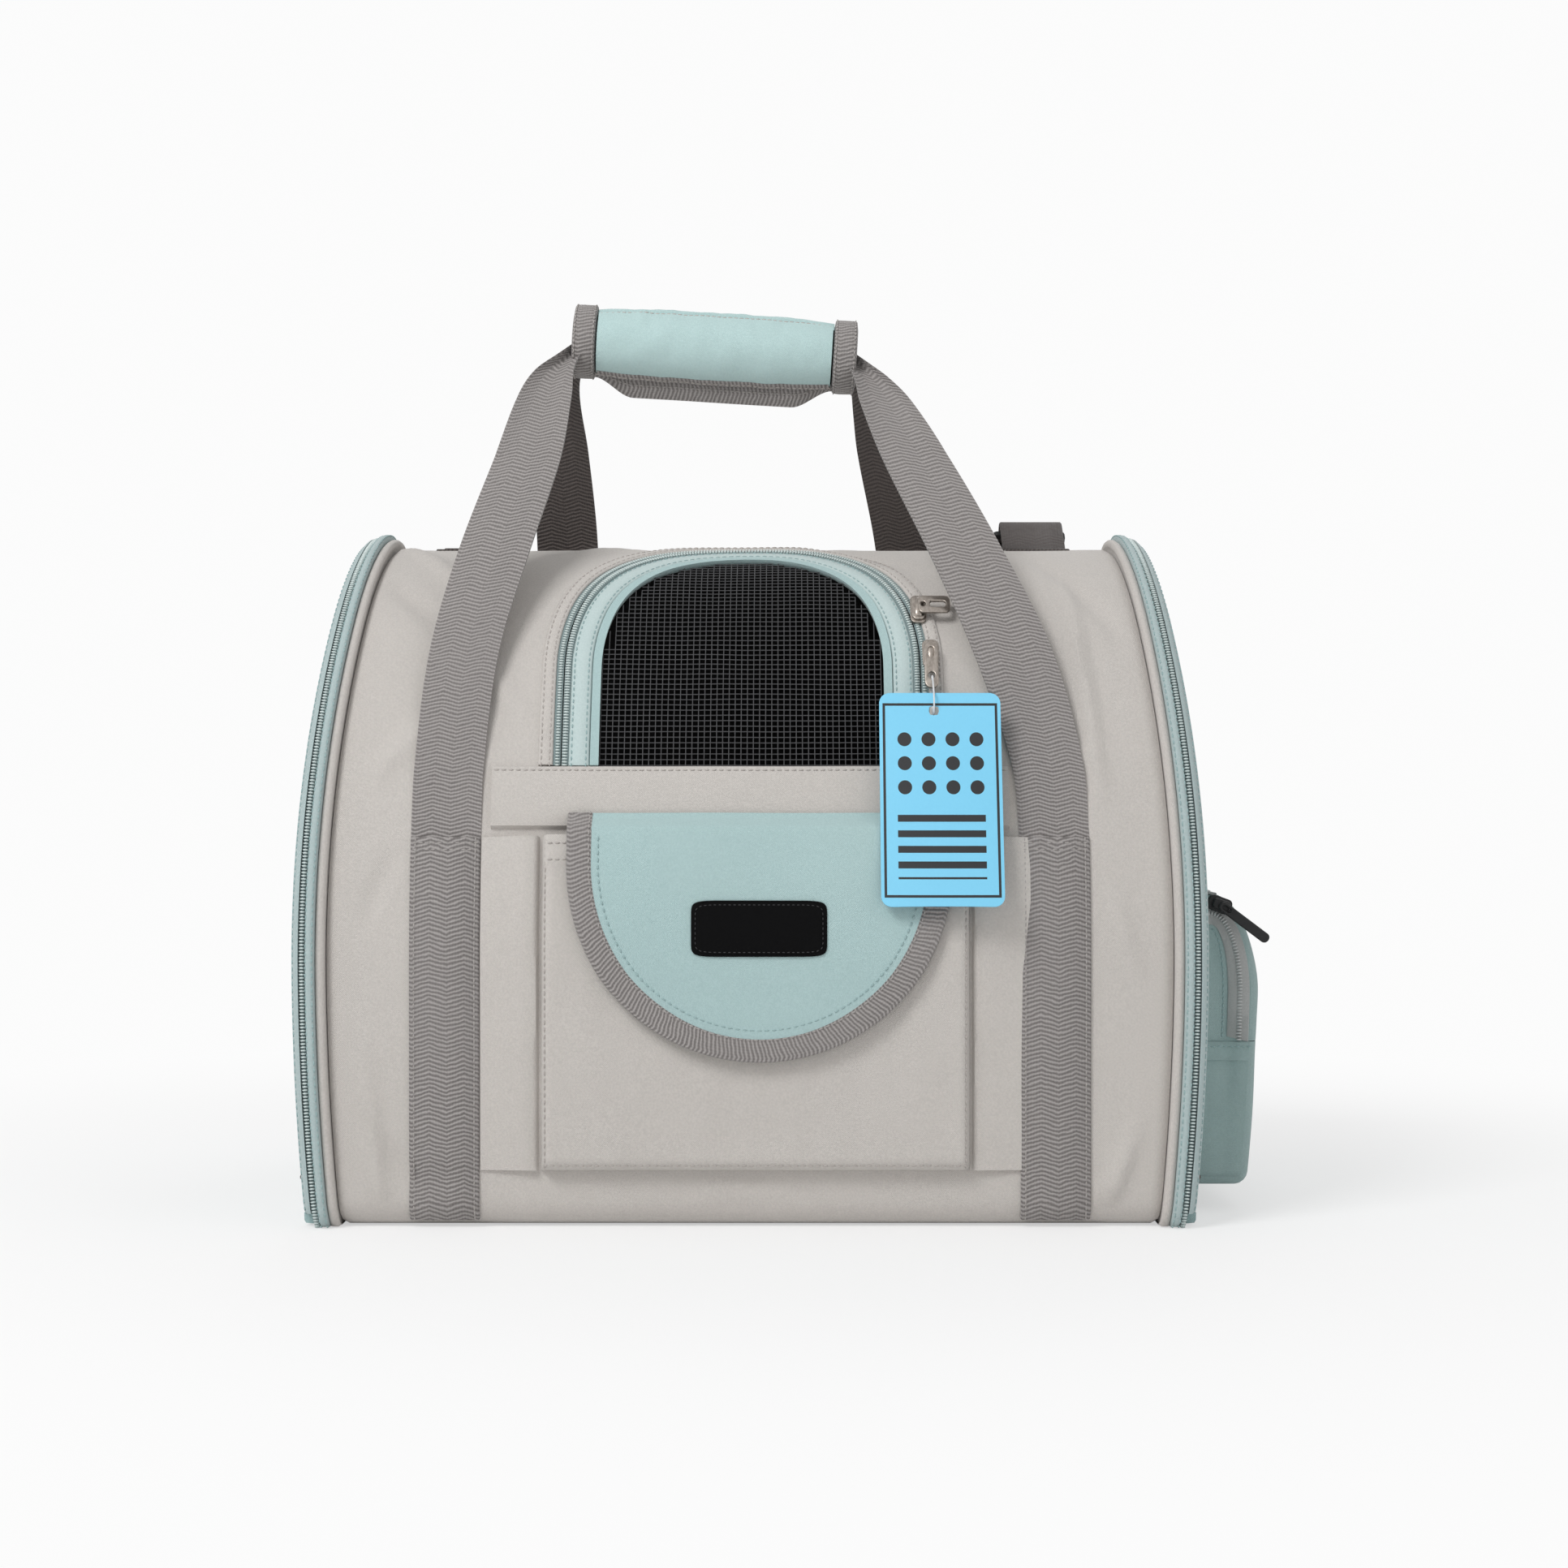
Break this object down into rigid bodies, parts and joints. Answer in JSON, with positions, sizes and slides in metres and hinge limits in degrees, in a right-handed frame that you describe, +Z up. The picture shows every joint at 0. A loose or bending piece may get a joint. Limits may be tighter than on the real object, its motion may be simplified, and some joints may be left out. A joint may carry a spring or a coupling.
{
  "type": "pet carrier bag",
  "caption": "Soft-sided barrel pet carrier in greige and mint cloth with mesh window, zipped end doors, front flap pocket, side pocket and padded carry handles",
  "frame": {"origin": "middle of the flat bottom of the bag, on the surface it stands on", "axes": "+X along the bag towards the end with the side pocket, -Y towards the front with the mesh window, +Z up"},
  "size_m": [0.4573, 0.3125, 0.4438],
  "materials": {
    "greige_cloth": "plain-woven polyester twill, matte",
    "mint_cloth": "plain-woven polyester, soft sheen",
    "grey_webbing": "ribbed woven webbing and binding tape",
    "black_mesh": "open square netting of coated yarn",
    "zip_chain": "woven zip tape with coil teeth",
    "nickel": "warm satin nickel plate",
    "black_plastic": "moulded acetal, fine grain",
    "black_rubber": "moulded soft rubber, satin",
    "blue_card": "coated card, satin",
    "clear_nylon": "thin clear nylon",
    "stiff_board": "extruded board",
    "foam": "closed-cell foam",
    "mat_cloth": "brushed knit over foam"
  },
  "bodies": {
    "bag": {"barrel_shell": "greige_cloth", "bottom_panel": "greige_cloth", "base_board": "stiff_board", "window_zip_outer": "zip_chain", "window_surround": "greige_cloth", "window_slider_upper": "nickel", "window_slider_lower": "nickel", "window_pull_lower": "nickel", "front_band": "greige_cloth", "front_pocket": "greige_cloth", "pocket_pleats": "greige_cloth", "front_webbing": "grey_webbing", "back_webbing": "grey_webbing", "front_strap_left": "grey_webbing", "front_strap_right": "grey_webbing", "back_strap_left": "grey_webbing", "back_strap_right": "grey_webbing", "end_pipings": "greige_cloth", "end_zip_strips": "mint_cloth", "left_zip_chain": "zip_chain", "right_zip_chain": "zip_chain", "door_sills": "mint_cloth", "shoulder_anchors": "grey_webbing", "tether_strap": "grey_webbing", "tag_loop": "clear_nylon"},
    "floor_mat": {"floor_mat": "mat_cloth"},
    "window_flap": {"window_mesh": "black_mesh", "window_piping": "mint_cloth", "window_strip": "mint_cloth", "window_zip_inner": "zip_chain"},
    "window_pull_upper": {"window_pull_upper": "nickel"},
    "hang_tag": {"hang_tag": "blue_card"},
    "pocket_flap": {"flap_panel": "mint_cloth", "flap_binding": "grey_webbing", "flap_patch": "black_rubber", "flap_hook_tape": "black_mesh"},
    "handle": {"grip_foam": "foam", "grip_webbing": "grey_webbing", "grip_sleeve": "mint_cloth", "grip_tail": "grey_webbing", "grip_bindings": "grey_webbing"},
    "grip_flap": {"grip_flap": "mint_cloth"},
    "left_door": {"left_door_band": "mint_cloth", "left_door_edging": "greige_cloth", "left_door_mesh": "black_mesh", "left_door_panel": "greige_cloth"},
    "right_door": {"right_door_band": "mint_cloth", "right_door_edging": "greige_cloth", "right_door_panel": "greige_cloth", "side_pocket_case": "mint_cloth", "side_pocket_zip": "zip_chain", "side_pocket_slider": "black_plastic"},
    "side_pocket_lid": {"side_pocket_lid": "mint_cloth"},
    "side_pocket_pull": {"side_pocket_pull": "black_plastic"},
    "left_door_slider": {"left_door_slider": "nickel"},
    "right_door_slider": {"right_door_slider": "nickel"},
    "shoulder_strap": {"shoulder_strap": "grey_webbing"},
    "strap_adjuster": {"strap_adjuster": "black_plastic"},
    "snap_hook": {"snap_hook": "nickel"}
  },
  "joints": [
    {"name": "left_door_open", "type": "hinge", "parent": "bag", "child": "left_door", "pos_m": [-0.2056, 0, 0.006], "axis": [0, -1, 0], "range_deg": [0, 90]},
    {"name": "right_door_open", "type": "hinge", "parent": "bag", "child": "right_door", "pos_m": [0.2056, 0, 0.006], "axis": [0, 1, 0], "range_deg": [0, 90]},
    {"name": "window_open", "type": "hinge", "parent": "bag", "child": "window_flap", "pos_m": [0, -0.12871, 0.2103], "axis": [1, 0, 0], "range_deg": [0, 100], "deforming": ["hang_tag", "tag_loop"]},
    {"name": "pocket_flap_open", "type": "hinge", "parent": "bag", "child": "pocket_flap", "pos_m": [0, -0.13653, 0.1873], "axis": [-1, 0, 0], "range_deg": [0, 110]},
    {"name": "handle_drop", "type": "slide", "parent": "bag", "child": "handle", "axis": [0, 0, -1], "range_m": [0, 0.062], "deforming": ["front_strap_left", "front_strap_right", "back_strap_left", "back_strap_right"]},
    {"name": "grip_wrap_open", "type": "hinge", "parent": "handle", "child": "grip_flap", "pos_m": [-0.01839, -0.00847, 0.43644], "axis": [-0.9981, 0, 0.061], "range_deg": [0, 110]},
    {"name": "shoulder_strap_swing", "type": "hinge", "parent": "bag", "child": "shoulder_strap", "pos_m": [0, 0.014, 0.3215], "axis": [1, 0, 0], "range_deg": [0, 120]},
    {"name": "adjuster_slide", "type": "slide", "parent": "shoulder_strap", "child": "strap_adjuster", "axis": [0, 0.7897, -0.6135], "range_m": [0, 0.014]},
    {"name": "tag_swing", "type": "hinge", "parent": "bag", "child": "hang_tag", "pos_m": [0.0845, -0.1272, 0.23601], "axis": [-1, 0, 0], "range_deg": [0, 60]},
    {"name": "upper_pull_swing", "type": "hinge", "parent": "bag", "child": "window_pull_upper", "pos_m": [0.0795, -0.08899, 0.284], "axis": [0, 0, -1], "range_deg": [0, 110]},
    {"name": "side_pocket_open", "type": "hinge", "parent": "right_door", "child": "side_pocket_lid", "pos_m": [0.2409, 0, 0.08], "axis": [0, 1, 0], "range_deg": [0, 90]},
    {"name": "side_pull_swing", "type": "hinge", "parent": "right_door", "child": "side_pocket_pull", "pos_m": [0.2215, -0.0974, 0.145], "axis": [-0.6018, 0, -0.7986], "range_deg": [0, 90]},
    {"name": "left_slider_run", "type": "slide", "parent": "bag", "child": "left_door_slider", "axis": [0, 0, 1], "range_m": [0, 0.08]},
    {"name": "right_slider_run", "type": "slide", "parent": "bag", "child": "right_door_slider", "axis": [0, 0, 1], "range_m": [0, 0.08]},
    {"name": "mat_lift", "type": "slide", "parent": "bag", "child": "floor_mat", "axis": [0, 0, 1], "range_m": [0, 0.04]},
    {"name": "tether_hook_swing", "type": "hinge", "parent": "bag", "child": "snap_hook", "pos_m": [-0.09, 0.1347, 0.104], "axis": [-1, 0, 0], "range_deg": [0, 70]}
  ]
}
